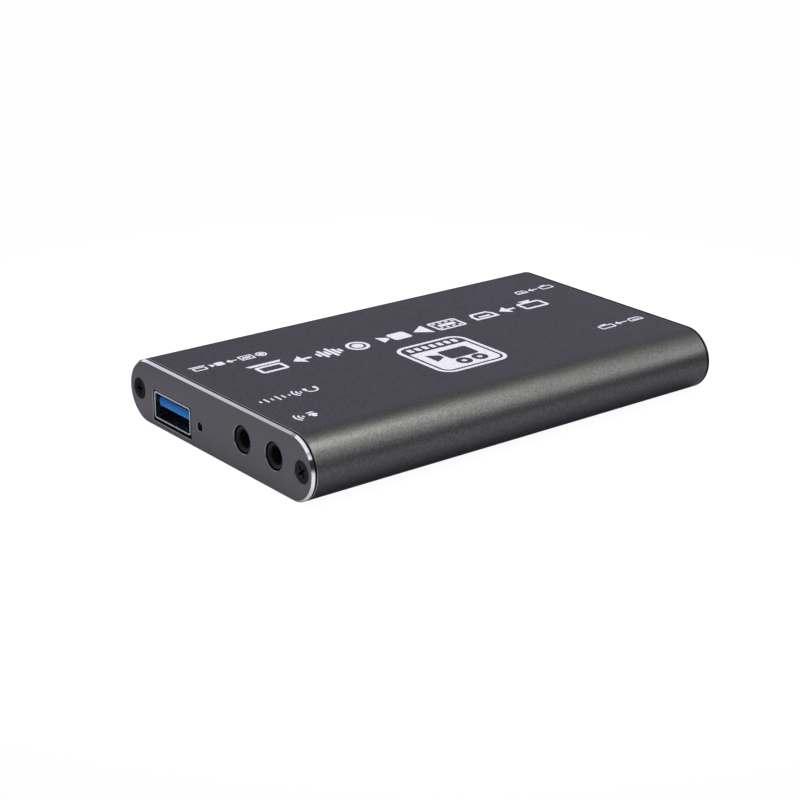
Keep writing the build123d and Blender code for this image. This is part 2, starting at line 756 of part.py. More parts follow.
with BuildPart() as heat_sink:
    heat_sink_bottom = capture_chip_top + thermal_tape_thickness
    fin_pitch = (heat_sink_side - heat_sink_fin) / (heat_sink_fins - 1)
    with BuildSketch(cross_plane(heat_sink_y + heat_sink_side / 2)):
        with Locations((heat_sink_x, heat_sink_bottom)):
            Rectangle(heat_sink_side, heat_sink_base, align=(Align.CENTER, Align.MIN))
        for number in range(heat_sink_fins):
            fin_x = heat_sink_x + (number - (heat_sink_fins - 1) / 2) * fin_pitch
            with Locations((fin_x, heat_sink_bottom)):
                Rectangle(heat_sink_fin, heat_sink_height, align=(Align.CENTER, Align.MIN))
    extrude(amount=heat_sink_side)
heat_sink.part.label = "heat_sink"
export_step(heat_sink.part, "parts/heat_sink.step")

# Splitter chip between the video ports, sound codec behind the jacks, and picture memory
with BuildPart() as splitter_chip:
    add_flat_chip(splitter_chip_place_shares, splitter_chip_side, splitter_chip_side, splitter_chip_height)
splitter_chip.part.label = "splitter_chip"
export_step(splitter_chip.part, "parts/splitter_chip.step")

with BuildPart() as audio_codec_chip:
    add_flat_chip(codec_chip_place_shares, codec_chip_side, codec_chip_side, codec_chip_height)
audio_codec_chip.part.label = "audio_codec_chip"
export_step(audio_codec_chip.part, "parts/audio_codec_chip.step")

with BuildPart() as frame_memory_chip:
    add_flat_chip(memory_chip_place_shares, memory_chip_width, memory_chip_length, memory_chip_height)
frame_memory_chip.part.label = "frame_memory_chip"
export_step(frame_memory_chip.part, "parts/frame_memory_chip.step")


def add_leaded_chip(place_shares, width, length, height, stand, leads, pitch, lead_width, thickness, reach):
    # A small moulded chip that stands on a row of bent leads at each side
    x, y = board_place(place_shares)
    with BuildSketch(Plane.XY.offset(board_top + stand)) as chip_outline:
        with Locations((x, y)):
            Rectangle(width, length)
    extrude(chip_outline.sketch, amount=height - stand)
    lead_level = board_top + height / 2
    for side in (-1, 1):
        bend_x = x + side * (width / 2 + reach / 2)
        path = [
            (x + side * lead_root_share * width, lead_level),
            (bend_x, lead_level),
            (bend_x, board_top + thickness / 2),
            (x + side * (width / 2 + reach), board_top + thickness / 2),
        ]
        for number in range(leads):
            lead_y = y + (number - (leads - 1) / 2) * pitch
            add_strip(path, cross_plane(lead_y), thickness, lead_width)


with BuildPart() as flash_memory_chip:
    add_leaded_chip(
        flash_chip_place_shares,
        flash_chip_width,
        flash_chip_length,
        flash_chip_height,
        flash_chip_stand,
        flash_leads,
        flash_lead_pitch,
        flash_lead_width,
        flash_lead_thickness,
        flash_lead_reach,
    )
flash_memory_chip.part.label = "flash_memory_chip"
export_step(flash_memory_chip.part, "parts/flash_memory_chip.step")

with BuildPart() as voltage_regulators:
    for shares in regulator_place_shares:
        add_leaded_chip(
            shares,
            regulator_width,
            regulator_length,
            regulator_height,
            regulator_stand,
            regulator_leads,
            regulator_lead_pitch,
            regulator_lead_width,
            regulator_lead_thickness,
            regulator_lead_reach,
        )
voltage_regulators.part.label = "voltage_regulators"
export_step(voltage_regulators.part, "parts/voltage_regulators.step")

# Crystals: a shallow base with a metal lid
with BuildPart() as crystal_oscillators:
    places = [board_place(shares) for shares in crystal_place_shares]
    with BuildSketch(Plane.XY.offset(board_top)):
        with Locations(*places):
            Rectangle(crystal_width, crystal_length)
    extrude(amount=crystal_base)
    with BuildSketch(Plane.XY.offset(board_top + crystal_base)):
        with Locations(*places):
            Rectangle(crystal_width - 2 * crystal_lid_margin, crystal_length - 2 * crystal_lid_margin)
    extrude(amount=crystal_height - crystal_base)
crystal_oscillators.part.label = "crystal_oscillators"
export_step(crystal_oscillators.part, "parts/crystal_oscillators.step")

# Power inductors: square ferrite blocks with cut corners on a smaller foot
with BuildPart() as power_inductors:
    places = [board_place(shares) for shares in inductor_place_shares]
    with BuildSketch(Plane.XY.offset(board_top)):
        with Locations(*places):
            Rectangle(inductor_side - 2 * inductor_foot_inset, inductor_side - 2 * inductor_foot_inset)
    extrude(amount=inductor_foot)
    with BuildSketch(Plane.XY.offset(board_top + inductor_foot)) as inductor_outline:
        with Locations(*places):
            Rectangle(inductor_side, inductor_side)
        chamfer(inductor_outline.vertices(), inductor_corner)
    extrude(amount=inductor_height - inductor_foot)
power_inductors.part.label = "power_inductors"
export_step(power_inductors.part, "parts/power_inductors.step")

# Bulk capacitors: aluminium cans with a rolled rim, each on a square base
with BuildPart() as bulk_capacitors:
    places = [board_place(shares) for shares in can_place_shares]
    with BuildSketch(Plane.XY.offset(board_top)):
        with Locations(*places):
            Rectangle(can_base_side, can_base_side)
    extrude(amount=can_base_height)
    with BuildSketch(Plane.XY.offset(board_top + can_base_height)):
        with Locations(*places):
            Circle(can_radius)
    extrude(amount=can_height - can_base_height)
    chamfer(bulk_capacitors.faces().group_by(Axis.Z)[-1].edges(), can_bevel)
bulk_capacitors.part.label = "bulk_capacitors"
export_step(bulk_capacitors.part, "parts/bulk_capacitors.step")

# Chip capacitors in rows beside the chips
with BuildPart() as chip_capacitors:
    for shares in capacitor_row_shares:
        row_x, row_y = board_place(shares)
        with BuildSketch(Plane.XY.offset(board_top)):
            with Locations((row_x, row_y)):
                with GridLocations(capacitor_pitch, 0, capacitor_count, 1):
                    Rectangle(capacitor_width, capacitor_length)
        extrude(amount=capacitor_height)
chip_capacitors.part.label = "chip_capacitors"
export_step(chip_capacitors.part, "parts/chip_capacitors.step")
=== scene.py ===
import bpy
import bmesh
import json
import math
from mathutils import Matrix, Vector

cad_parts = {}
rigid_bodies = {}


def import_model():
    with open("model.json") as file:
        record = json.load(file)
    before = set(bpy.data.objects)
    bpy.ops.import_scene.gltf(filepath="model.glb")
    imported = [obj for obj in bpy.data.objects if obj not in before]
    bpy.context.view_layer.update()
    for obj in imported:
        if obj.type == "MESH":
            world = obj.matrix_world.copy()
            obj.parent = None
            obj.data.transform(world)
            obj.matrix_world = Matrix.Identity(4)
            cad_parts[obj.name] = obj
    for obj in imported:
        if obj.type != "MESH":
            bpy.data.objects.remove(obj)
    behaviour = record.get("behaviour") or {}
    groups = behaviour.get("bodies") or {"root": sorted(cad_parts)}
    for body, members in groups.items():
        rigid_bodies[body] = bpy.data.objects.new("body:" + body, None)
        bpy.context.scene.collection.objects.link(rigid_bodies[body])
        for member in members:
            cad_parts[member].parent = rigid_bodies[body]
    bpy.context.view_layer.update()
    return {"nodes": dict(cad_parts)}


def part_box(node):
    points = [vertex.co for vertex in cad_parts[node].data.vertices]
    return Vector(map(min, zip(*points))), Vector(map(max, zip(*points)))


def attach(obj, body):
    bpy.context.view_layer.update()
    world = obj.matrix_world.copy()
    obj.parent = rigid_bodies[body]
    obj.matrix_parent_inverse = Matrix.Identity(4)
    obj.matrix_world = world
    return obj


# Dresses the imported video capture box: finishes on every part, the white print on its top, and a
# plain studio. Blender works in metres; sizes are typed in millimetres, and the studio's in metres.
mm = 0.001

for leftover in list(bpy.data.objects):
    bpy.data.objects.remove(leftover)
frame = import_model()
nodes = frame["nodes"]
print("frame loaded,", len(nodes), "parts")

sleeveLow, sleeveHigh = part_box("case_sleeve")
plateLow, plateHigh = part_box("front_plate")
topLevel = sleeveHigh.z
midLevel = (sleeveHigh.z + sleeveLow.z) / 2
sideRadius = (sleeveHigh.z - sleeveLow.z) / 2
sideCentre = plateHigh.x - sideRadius


# Building blocks of the finishes

def startFinish(finishName, look):
    # what is even all over goes straight onto the shader
    finish = bpy.data.materials.new(finishName)
    finish.use_nodes = True
    shader = finish.node_tree.nodes["Principled BSDF"]
    for socketName, value in look.items():
        shader.inputs[socketName].default_value = value
    return finish


def addTexture(finish, kind, grainSize, stretch=(1, 1, 1), detail=2.0):
    # a texture in the part's own millimetres, so its grain has a real size
    tree = finish.node_tree
    place = tree.nodes.new("ShaderNodeTexCoord")
    mapping = tree.nodes.new("ShaderNodeMapping")
    mapping.inputs["Scale"].default_value = stretch
    texture = tree.nodes.new(kind)
    texture.inputs["Scale"].default_value = 1 / (grainSize * mm)
    texture.inputs["Detail"].default_value = detail
    tree.links.new(place.outputs["Object"], mapping.inputs["Vector"])
    tree.links.new(mapping.outputs["Vector"], texture.inputs["Vector"])
    return texture.outputs[0]


def tintWith(finish, pattern, dark, light, start=0.3, end=0.7):
    tree = finish.node_tree
    ramp = tree.nodes.new("ShaderNodeValToRGB")
    ramp.color_ramp.elements[0].position = start
    ramp.color_ramp.elements[0].color = (*dark, 1)
    ramp.color_ramp.elements[1].position = end
    ramp.color_ramp.elements[1].color = (*light, 1)
    tree.links.new(pattern, ramp.inputs["Fac"])
    tree.links.new(ramp.outputs["Color"], tree.nodes["Principled BSDF"].inputs["Base Color"])


def roughenWith(finish, pattern, smooth, rough):
    tree = finish.node_tree
    spread = tree.nodes.new("ShaderNodeMapRange")
    spread.inputs["To Min"].default_value = smooth
    spread.inputs["To Max"].default_value = rough
    tree.links.new(pattern, spread.inputs["Value"])
    tree.links.new(spread.outputs["Result"], tree.nodes["Principled BSDF"].inputs["Roughness"])


def embossWith(finish, pattern, strength, depth):
    tree = finish.node_tree
    bump = tree.nodes.new("ShaderNodeBump")
    bump.inputs["Strength"].default_value = strength
    bump.inputs["Distance"].default_value = depth * mm
    tree.links.new(pattern, bump.inputs["Height"])
    tree.links.new(bump.outputs["Normal"], tree.nodes["Principled BSDF"].inputs["Normal"])


def makeGrained(finishName, s):
    # the plain kind of finish, where one grain sets the tint and the roughness
    finish = startFinish(finishName, s["look"])
    grain = addTexture(finish, "ShaderNodeTexNoise", s["grain"], s.get("stretch", (1, 1, 1)))
    tintWith(finish, grain, s["dark"], s["light"])
    roughenWith(finish, grain, s["smooth"], s["rough"])
    return finish


def makeAnodised(finishName, s):
    # a fine grain for the tint and the blasted surface, and a wide cloud for the roughness
    finish = startFinish(finishName, s["look"])
    grain = addTexture(finish, "ShaderNodeTexNoise", s["grain"], detail=s["grainDetail"])
    cloud = addTexture(finish, "ShaderNodeTexNoise", s["cloud"])
    tintWith(finish, grain, s["dark"], s["light"])
    roughenWith(finish, cloud, s["smooth"], s["rough"])
    embossWith(finish, grain, s["bumpStrength"], s["bumpDepth"])
    return finish


def makeFaded(finishName, s):
    # painted shade: goes from dark to light between two distances along an axis, the same on both sides
    # of 0
    finish = startFinish(finishName, s["look"])
    tree = finish.node_tree
    grain = addTexture(finish, "ShaderNodeTexNoise", s["grain"])
    place = tree.nodes.new("ShaderNodeTexCoord")
    axes = tree.nodes.new("ShaderNodeSeparateXYZ")
    distance = tree.nodes.new("ShaderNodeMath")
    distance.operation = "ABSOLUTE"
    fade = tree.nodes.new("ShaderNodeMapRange")
    fade.inputs["From Min"].default_value = s["darkFrom"] * mm
    fade.inputs["From Max"].default_value = s["lightFrom"] * mm
    both = tree.nodes.new("ShaderNodeMath")
    both.operation = "MULTIPLY_ADD"
    both.inputs[1].default_value = s["grainShare"]
    tree.links.new(place.outputs["Object"], axes.inputs[0])
    tree.links.new(axes.outputs[s["axis"]], distance.inputs[0])
    tree.links.new(distance.outputs[0], fade.inputs["Value"])
    tree.links.new(grain, both.inputs[0])
    tree.links.new(fade.outputs["Result"], both.inputs[2])
    tintWith(finish, both.outputs[0], s["dark"], s["light"], 0.0, 1.0)
    roughenWith(finish, grain, s["smooth"], s["rough"])
    return finish


# Case finishes

anodisedSleeve = {
    "look": {"Metallic": 1.0, "Specular Tint": (0.55, 0.55, 0.6, 1)},
    "dark": (0.046, 0.045, 0.046),
    "light": (0.085, 0.084, 0.084),
    "smooth": 0.34,
    "rough": 0.42,
    "grain": 0.34,
    "grainDetail": 3.0,
    "cloud": 9.0,
    "bumpStrength": 0.45,
    "bumpDepth": 0.03,
}

anodisedPlate = {
    "look": {"Metallic": 1.0, "Specular Tint": (0.6, 0.6, 0.64, 1)},
    "dark": (0.092, 0.090, 0.096),
    "light": (0.106, 0.104, 0.110),
    "smooth": 0.38,
    "rough": 0.46,
    "grain": 0.25,
    "grainDetail": 3.0,
    "cloud": 7.0,
    "bumpStrength": 0.1,
    "bumpDepth": 0.02,
}

blackScrew = {
    "look": {"Metallic": 1.0, "Specular Tint": (0.4, 0.4, 0.4, 1)},
    "dark": (0.015, 0.014, 0.016),
    "light": (0.032, 0.031, 0.034),
    "smooth": 0.3,
    "rough": 0.45,
    "grain": 0.4,
}


# Socket and board finishes

metalLooks = {
    "platedShell": {
        "dark": (0.27, 0.265, 0.26),
        "light": (0.37, 0.365, 0.36),
        "smooth": 0.2,
        "rough": 0.34,
        "grain": 0.5,
    },
    "goldContact": {
        "dark": (0.74, 0.50, 0.18),
        "light": (0.86, 0.62, 0.26),
        "smooth": 0.16,
        "rough": 0.28,
        "grain": 0.4,
    },
    "platedContact": {
        "dark": (0.62, 0.61, 0.59),
        "light": (0.76, 0.75, 0.73),
        "smooth": 0.2,
        "rough": 0.34,
        "grain": 0.4,
    },
    "bareAluminium": {
        "dark": (0.60, 0.61, 0.62),
        "light": (0.74, 0.75, 0.76),
        "smooth": 0.3,
        "rough": 0.45,
        "grain": 0.6,
    },
    "openingRim": {
        "dark": (0.15, 0.148, 0.152),
        "light": (0.23, 0.227, 0.232),
        "smooth": 0.2,
        "rough": 0.32,
        "grain": 0.3,
    },
}


def makeMetal(metalName):
    # the grain runs along the box
    base = {"look": {"Metallic": 1.0}, "stretch": (1, 0.2, 1)}
    return makeGrained(metalName, {**base, **metalLooks[metalName]})


mouldedLooks = {
    "blackInsulator": {
        "dark": (0.004, 0.004, 0.0045),
        "light": (0.009, 0.009, 0.010),
        "shine": 0.09,
        "smooth": 0.34,
        "rough": 0.46,
        "grain": 0.7,
    },
    "chipResin": {
        "dark": (0.014, 0.014, 0.015),
        "light": (0.024, 0.024, 0.026),
        "shine": 0.5,
        "smooth": 0.45,
        "rough": 0.6,
        "grain": 0.3,
    },
    "thermalPad": {
        "dark": (0.24, 0.29, 0.36),
        "light": (0.32, 0.37, 0.44),
        "shine": 0.4,
        "smooth": 0.7,
        "rough": 0.85,
        "grain": 0.5,
    },
    "ferrite": {
        "dark": (0.035, 0.035, 0.037),
        "light": (0.060, 0.060, 0.063),
        "shine": 0.4,
        "smooth": 0.6,
        "rough": 0.8,
        "grain": 0.2,
    },
    "tanCeramic": {
        "dark": (0.34, 0.22, 0.12),
        "light": (0.44, 0.30, 0.17),
        "shine": 0.5,
        "smooth": 0.35,
        "rough": 0.5,
        "grain": 0.3,
    },
    "whiteCeramic": {
        "dark": (0.66, 0.66, 0.62),
        "light": (0.76, 0.76, 0.72),
        "shine": 0.5,
        "smooth": 0.4,
        "rough": 0.55,
        "grain": 0.4,
    },
}


def makeMoulding(mouldingName):
    s = mouldedLooks[mouldingName]
    return makeGrained(mouldingName, {"look": {"Specular IOR Level": s["shine"]}, **s})


# the tongue of the data port is blue, with painted shade: darker towards its top, in the shade of its
# shell, and lighter at its lower edge
blueInsulatorPaintedShade = {
    "look": {"Specular IOR Level": 0.04},
    "dark": (0.002, 0.055, 0.20),
    "light": (0.013, 0.165, 0.46),
    "smooth": 0.34,
    "rough": 0.46,
    "grain": 0.9,
    "grainShare": 0.2,
    "axis": "Z",
    "darkFrom": 6.6,
    "lightFrom": 4.9,
}

clearLens = {
    "look": {"IOR": 1.5, "Transmission Weight": 0.7},
    "dark": (0.62, 0.66, 0.62),
    "light": (0.74, 0.77, 0.74),
    "smooth": 0.05,
    "rough": 0.15,
    "grain": 0.6,
}

# green mask that is lighter over copper: the copper's patches are the cells of the texture
solderMask = {
    "look": {"Specular IOR Level": 0.5, "Coat Weight": 0.4, "Coat Roughness": 0.15},
    "dark": (0.006, 0.050, 0.022),
    "light": (0.016, 0.105, 0.045),
    "patch": 2.4,
    "patchEdge": (0.42, 0.5),
    "smooth": 0.3,
    "rough": 0.4,
}


def makeSolderMask():
    s = solderMask
    finish = startFinish("solderMask", s["look"])
    patches = addTexture(finish, "ShaderNodeTexVoronoi", s["patch"])
    tintWith(finish, patches, s["light"], s["dark"], *s["patchEdge"])
    roughenWith(finish, patches, s["smooth"], s["rough"])
    return finish


finishOfSlot = {
    "anodised_sleeve": makeAnodised("anodisedSleeve", anodisedSleeve),
    "anodised_plate": makeAnodised("anodisedPlate", anodisedPlate),
    "black_screw": makeGrained("blackScrew", blackScrew),
    "circuit_board": makeSolderMask(),
    "plated_shell": makeMetal("platedShell"),
    "blue_insulator": makeFaded("blueInsulatorPaintedShade", blueInsulatorPaintedShade),
    "black_insulator": makeMoulding("blackInsulator"),
    "gold_contact": makeMetal("goldContact"),
    "plated_contact": makeMetal("platedContact"),
    "white_ceramic": makeMoulding("whiteCeramic"),
    "clear_lens": makeGrained("clearLens", clearLens),
    "chip_resin": makeMoulding("chipResin"),
    "thermal_pad": makeMoulding("thermalPad"),
    "bare_aluminium": makeMetal("bareAluminium"),
    "ferrite": makeMoulding("ferrite"),
    "tan_ceramic": makeMoulding("tanCeramic"),
}
for node in nodes.values():
    slotName = node.data.materials[0].name
    node.data.materials[0] = finishOfSlot[slotName]
print("finishes set on", len(nodes), "parts")


# Cut edges: bare metal on the bevel of each end plate and finer rims round the openings, and painted
# shade on the edges beside the plates' gaps: the front plate's lip and both cut ends of the sleeve

cutEdges = {
    "bevelDepth": 0.52,  # below the outline, as the lip
    "rimDepth": 0.1,  # behind the plate's outer face
    "lipDepth": 0.05,
    "leastSlope": 0.4,  # how much of a face's normal points along the box
    "mostSlope": 0.9,
}

# cut through the colour into bare metal, in fine tool lines along the edge
cutBevel = {
    "look": {"Metallic": 1.0},
    "dark": (0.53, 0.525, 0.53),
    "light": (0.72, 0.715, 0.72),
    "smooth": 0.07,
    "rough": 0.16,
    "grain": 0.12,
    "stretch": (1, 6, 1),
}

# painted shade: the narrow rim behind the front bevel is coloured nearly black, for the shade of the gap
plateLipPaintedShade = {
    "look": {"Metallic": 1.0, "Specular Tint": (0.25, 0.25, 0.27, 1)},
    "dark": (0.008, 0.008, 0.009),
    "light": (0.016, 0.016, 0.017),
    "smooth": 0.4,
    "rough": 0.5,
    "grain": 0.3,
}

# the cut ends of the sleeve: a bright hairline of cut metal at the top of the edge, and painted shade
# that darkens it towards the gap
sleeveEdgePaintedShade = {
    "look": {"Metallic": 1.0, "Specular Tint": (0.4, 0.4, 0.42, 1)},
    "dark": (0.010, 0.010, 0.011),
    "light": (0.22, 0.218, 0.222),
    "smooth": 0.22,
    "rough": 0.36,
    "grain": 0.3,
    "grainShare": 0.08,
    "axis": "Y",
    "darkFrom": 51.14,
    "lightFrom": 51.11,
}


def outlineDepth(point):
    # how far a point lies inside the case's outline, seen from an end
    beyond = max(abs(point.x) - sideCentre, 0)
    return sideRadius - math.hypot(beyond, point.z - midLevel)


def isSlanted(face):
    return cutEdges["leastSlope"] < abs(face.normal.y) < cutEdges["mostSlope"]


def isBevel(face):
    return isSlanted(face) and outlineDepth(face.center) < cutEdges["bevelDepth"] * mm


def isRim(face):
    faceDepth = -plateLow.y - abs(face.center.y)
    return isSlanted(face) and not isBevel(face) and faceDepth < cutEdges["rimDepth"] * mm


def isLip(face):
    level = abs(face.normal.y) < cutEdges["leastSlope"]
    return level and outlineDepth(face.center) < cutEdges["lipDepth"] * mm


def paintFaces(nodeName, finish, isChosen):
    mesh = nodes[nodeName].data
    mesh.materials.append(finish)
    for face in mesh.polygons:
        if isChosen(face):
            face.material_index = len(mesh.materials) - 1


bevelFinish = makeGrained("cutBevel", cutBevel)
rimFinish = makeMetal("openingRim")
for plateName in ("front_plate", "rear_plate"):
    paintFaces(plateName, bevelFinish, isBevel)
    paintFaces(plateName, rimFinish, isRim)
# painted shade on the front plate's lip only; the rear plate's lip keeps the plate's finish
paintFaces("front_plate", makeGrained("plateLipPaintedShade", plateLipPaintedShade), isLip)
# painted shade on the sleeve's cut ends, beside the gaps
paintFaces("case_sleeve", makeFaded("sleeveEdgePaintedShade", sleeveEdgePaintedShade), isSlanted)
print("cut edges painted")


# Print on the top. Each mark is drawn flat in the reader's own right and up, in millimetres; the
# reader stands at the -X side, so right is -Y and up is +X.

whiteInk = {
    "look": {"Specular IOR Level": 0.4},
    "dark": (0.47, 0.465, 0.495),
    "light": (0.56, 0.555, 0.59),
    "smooth": 0.45,
    "rough": 0.6,
    "grain": 0.5,
    "thickness": 0.02,
    "leastCorner": 0.02,
}


def fillShape(ink, points):
    ink.faces.new([ink.verts.new((*point, 0)) for point in points])


def fillBetween(ink, outer, inner, closed=True):
    # a band between two outlines that have the same number of points
    outerVerts = [ink.verts.new((*point, 0)) for point in outer]
    innerVerts = [ink.verts.new((*point, 0)) for point in inner]
    for here in range(len(outer) if closed else len(outer) - 1):
        there = (here + 1) % len(outer)
        ink.faces.new((outerVerts[here], outerVerts[there], innerVerts[there], innerVerts[here]))


def arcPoints(u, v, radius, start, end, steps=20):
    angles = [math.radians(start + (end - start) * step / steps) for step in range(steps + 1)]
    return [(u + radius * math.cos(angle), v + radius * math.sin(angle)) for angle in angles]


def roundedPoints(u, v, width, height, corner, steps=6):
    points = []
    for sideU, sideV, start in ((1, 1, 0), (-1, 1, 90), (-1, -1, 180), (1, -1, 270)):
        cornerU = u + sideU * (width / 2 - corner)
        cornerV = v + sideV * (height / 2 - corner)
        points += arcPoints(cornerU, cornerV, corner, start, start + 90, steps)
    return points


def fillRounded(ink, u, v, width, height, corner):
    fillShape(ink, roundedPoints(u, v, width, height, corner))


def frameRounded(ink, u, v, width, height, corner, line):
    outer = roundedPoints(u, v, width, height, corner)
    innerCorner = max(corner - line, whiteInk["leastCorner"])
    inner = roundedPoints(u, v, width - 2 * line, height - 2 * line, innerCorner)
    fillBetween(ink, outer, inner)


def drawArc(ink, u, v, radius, start, end, line):
    outer = arcPoints(u, v, radius + line / 2, start, end)
    inner = arcPoints(u, v, radius - line / 2, start, end)
    fillBetween(ink, outer, inner, closed=False)


# The marks of the print. Each fills a box of the given width and height about its own middle. The
# numbers beside a mark are shares of its width, its height or its line, apart from counts and angles.

arrowMark = {"headWing": 0.4, "headLength": 1.15}


def drawArrow(ink, u, v, width, height, line):
    # one outline from tail to tip and back
    s = arrowMark
    wing = height * s["headWing"]
    neck = u + width / 2 - wing * s["headLength"]
    upper = [(u - width / 2, v + line / 2), (neck, v + line / 2), (neck, v + wing)]
    lower = [(point[0], 2 * v - point[1]) for point in reversed(upper)]
    fillShape(ink, upper + [(u + width / 2, v)] + lower)


displayMark = {"screen": 0.8, "neck": 0.12, "foot": 0.26}


def drawDisplay(ink, u, v, width, height, line):
    # a screen on a short stand
    s = displayMark
    screen = height * s["screen"]
    stand = v + height / 2 - screen
    frameRounded(ink, u, v + (height - screen) / 2, width, screen, line, line)
    foot = [(u - width * s["neck"], stand), (u + width * s["neck"], stand)]
    foot += [(u + width * s["foot"], v - height / 2), (u - width * s["foot"], v - height / 2)]
    fillShape(ink, foot)


laptopMark = {"screen": 0.72, "screenWidth": 0.78, "hingeGap": 0.6, "hinge": 0.42}


def drawLaptop(ink, u, v, width, height, line):
    s = laptopMark
    screen = height * s["screen"]
    frameRounded(ink, u, v + (height - screen) / 2, width * s["screenWidth"], screen, line, line)
    hinge = v + height / 2 - screen - line * s["hingeGap"]
    keyboard = [(u - width * s["hinge"], hinge), (u + width * s["hinge"], hinge)]
    keyboard += [(u + width / 2, v - height / 2), (u - width / 2, v - height / 2)]
    fillShape(ink, keyboard)


filmMark = {
    "holes": 4,
    "edge": 0.8,
    "holeInset": 0.7,
    "holeHeight": 0.8,
    "holeCorner": 0.2,
    "pictureWidth": 0.6,
    "pictureHeight": 0.26,
}


def drawFilm(ink, u, v, width, height, line):
    # a strip of film: a row of holes along each edge and a picture between them
    s = filmMark
    edge = line * s["edge"]
    frameRounded(ink, u, v, width, height, line, edge)
    hole = width / (2 * s["holes"] + 1)
    for number in range(s["holes"]):
        holeU = u + (number - (s["holes"] - 1) / 2) * 2 * hole
        for side in (-1, 1):
            holeV = v + side * (height / 2 - edge - hole * s["holeInset"])
            fillRounded(ink, holeU, holeV, hole, hole * s["holeHeight"], hole * s["holeCorner"])
    fillRounded(ink, u, v, width * s["pictureWidth"], height * s["pictureHeight"], line / 2)


def drawPlay(ink, u, v, width, height, line):
    fillShape(ink, [(u - width / 2, v - height / 2), (u + width / 2, v), (u - width / 2, v + height / 2)])


cameraMark = {"body": 0.62, "bodyHeight": 0.76, "lens": 0.3, "lensBack": 0.1, "lensFront": 0.34}


def drawCamera(ink, u, v, width, height, line):
    # a video camera: a body and the wedge of its lens
    s = cameraMark
    body = width * s["body"]
    fillRounded(ink, u - (width - body) / 2, v, body, height * s["bodyHeight"], line)
    back = u + width / 2 - width * s["lens"]
    front = u + width / 2
    lens = [(back, v - height * s["lensBack"]), (front, v - height * s["lensFront"])]
    lens += [(front, v + height * s["lensFront"]), (back, v + height * s["lensBack"])]
    fillShape(ink, lens)


recordMark = {"dot": 0.25, "dotPoints": 24}


def drawRecord(ink, u, v, width, height, line):
    # a dot in a ring
    s = recordMark
    drawArc(ink, u, v, (height - line) / 2, 0, 360, line)
    lastAngle = 360 - 360 / s["dotPoints"]
    fillShape(ink, arcPoints(u, v, height * s["dot"], 0, lastAngle, s["dotPoints"] - 1))


levelsMark = {"bars": (0.35, 0.65, 1.0, 0.5, 0.85, 0.4), "corner": 0.49}


def drawLevels(ink, u, v, width, height, line):
    # the bars of a sound level
    s = levelsMark
    pitch = (width - line) / (len(s["bars"]) - 1)
    for number, bar in enumerate(s["bars"]):
        barU = u - (width - line) / 2 + number * pitch
        fillRounded(ink, barU, v, line, height * bar, line * s["corner"])


wavesMark = {"arcs": (0.3, 0.65, 1.0), "spread": 42}


def drawWaves(ink, u, v, width, height, line):
    # sound that spreads to the right
    s = wavesMark
    start = u - width / 2
    for reach in s["arcs"]:
        drawArc(ink, start, v, width * reach - line / 2, -s["spread"], s["spread"], line)


socketMark = {
    "height": 0.78,
    "foot": 0.36,
    "footInset": 0.6,
    "waistDrop": 0.06,
    "tongue": 0.5,
    "tongueLift": 0.12,
    "tongueCorner": 0.3,
}


def drawSocket(ink, u, v, width, height, line):
    # the mouth of a video socket with its tongue
    s = socketMark
    high = height * s["height"]

    def mouth(inset):
        half = width / 2 - inset
        foot = width * s["foot"] - inset * s["footInset"]
        top = v + high / 2 - inset
        waist = v - high * s["waistDrop"]
        low = v - high / 2 + inset
        right = [(u + half, top), (u + half, waist), (u + foot, low)]
        left = [(2 * u - point[0], point[1]) for point in reversed(right)]
        return right + left

    fillBetween(ink, mouth(0), mouth(line))
    tongueV = v + high * s["tongueLift"]
    fillRounded(ink, u, tongueV, width * s["tongue"], line, line * s["tongueCorner"])


headphonesMark = {"cup": 2, "cupInset": 0.25, "cupCorner": 0.6}


def drawHeadphones(ink, u, v, width, height, line):
    s = headphonesMark
    radius = (width - line) / 2
    bandV = v + height / 2 - line / 2 - radius
    drawArc(ink, u, bandV, radius, 0, 180, line)
    cupHeight = bandV - (v - height / 2)
    cupV = bandV - cupHeight / 2
    for side in (-1, 1):
        cupU = u + side * (radius - line * s["cupInset"])
        fillRounded(ink, cupU, cupV, line * s["cup"], cupHeight, line * s["cupCorner"])


microphoneMark = {
    "capsule": 0.56,
    "capsuleWidth": 0.52,
    "capsuleCorner": 0.25,
    "cradleDrop": 0.12,
    "foot": 0.8,
    "footCorner": 0.3,
    "stemCorner": 0.1,
}


def drawMicrophone(ink, u, v, width, height, line):
    # a capsule in its cradle, on a stem with a foot
    s = microphoneMark
    capsule = height * s["capsule"]
    capsuleV = v + height / 2 - capsule / 2
    cradleV = capsuleV - capsule * s["cradleDrop"]
    fillRounded(ink, u, capsuleV, width * s["capsuleWidth"], capsule, width * s["capsuleCorner"])
    drawArc(ink, u, cradleV, (width - line) / 2, 180, 360, line)
    low = v - height / 2
    stem = cradleV - width / 2 - low - line / 2
    fillRounded(ink, u, low + line + stem / 2, line, stem, line * s["stemCorner"])
    fillRounded(ink, u, low + line / 2, width * s["foot"], line, line * s["footCorner"])


def drawRow(ink, marks, height, line, gap):
    # marks side by side from left to right, centred as a whole; a mark without a drawing is a space
    place = -(sum(width for draw, width in marks) + gap * (len(marks) - 1)) / 2
    for draw, width in marks:
        if draw:
            draw(ink, place + width / 2, 0, width, height, line)
        place += width + gap


